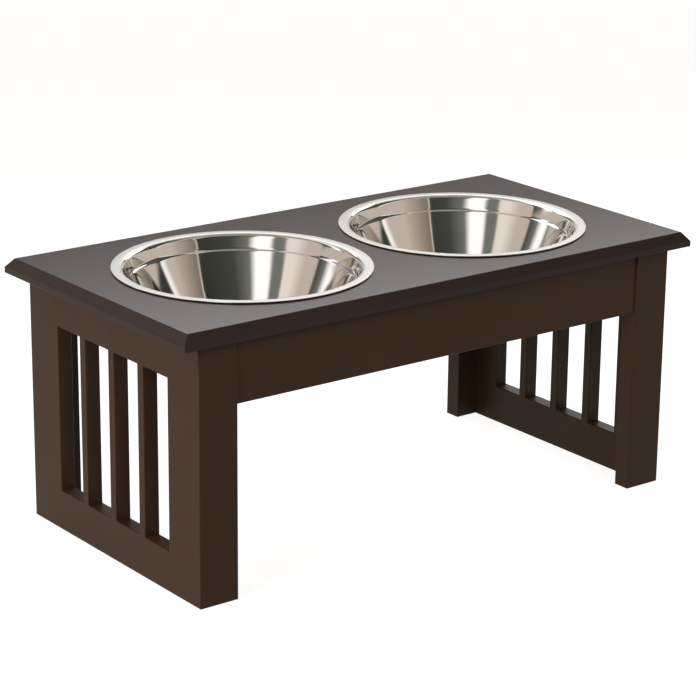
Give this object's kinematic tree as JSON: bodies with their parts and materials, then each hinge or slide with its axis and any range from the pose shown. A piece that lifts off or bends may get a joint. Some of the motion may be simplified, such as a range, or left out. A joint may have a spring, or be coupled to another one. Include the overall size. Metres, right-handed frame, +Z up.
{
  "type": "elevated pet feeder",
  "caption": "Low painted table with slatted end frames and a bevelled top whose round holes carry lift-out steel feeding bowls.",
  "frame": {"origin": "on the floor, under the middle of the table", "axes": "+X along the table from the left bowl to the right bowl, +Y from front to back, +Z up"},
  "size_m": [0.584, 0.3, 0.2556],
  "materials": {
    "painted_board": "satin dark brown paint on fibreboard",
    "bowl_steel": "stainless sheet, mirror polished inside, satin on the rim",
    "dowel_wood": "raw beech",
    "zinc_fitting": "zinc plated"
  },
  "bodies": {
    "stand": {"top_board": "painted_board", "apron_front": "painted_board", "apron_back": "painted_board", "leg_front_left": "painted_board", "leg_back_left": "painted_board", "leg_front_right": "painted_board", "leg_back_right": "painted_board", "stile_front_left": "painted_board", "stile_back_left": "painted_board", "stile_front_right": "painted_board", "stile_back_right": "painted_board", "bottom_rail_left": "painted_board", "bottom_rail_right": "painted_board", "top_rail_left": "painted_board", "top_rail_right": "painted_board", "slat_left_1": "painted_board", "slat_left_2": "painted_board", "slat_left_3": "painted_board", "slat_right_1": "painted_board", "slat_right_2": "painted_board", "slat_right_3": "painted_board", "wood_dowels": "dowel_wood", "cam_bolts": "zinc_fitting", "cam_locks": "zinc_fitting"},
    "left_bowl": {"bowl_left": "bowl_steel"},
    "right_bowl": {"bowl_right": "bowl_steel"}
  },
  "joints": [
    {"name": "left_bowl_lift", "type": "slide", "parent": "stand", "child": "left_bowl", "axis": [0, 0, 1], "range_m": [0, 0.1]},
    {"name": "right_bowl_lift", "type": "slide", "parent": "stand", "child": "right_bowl", "axis": [0, 0, 1], "range_m": [0, 0.1]}
  ]
}
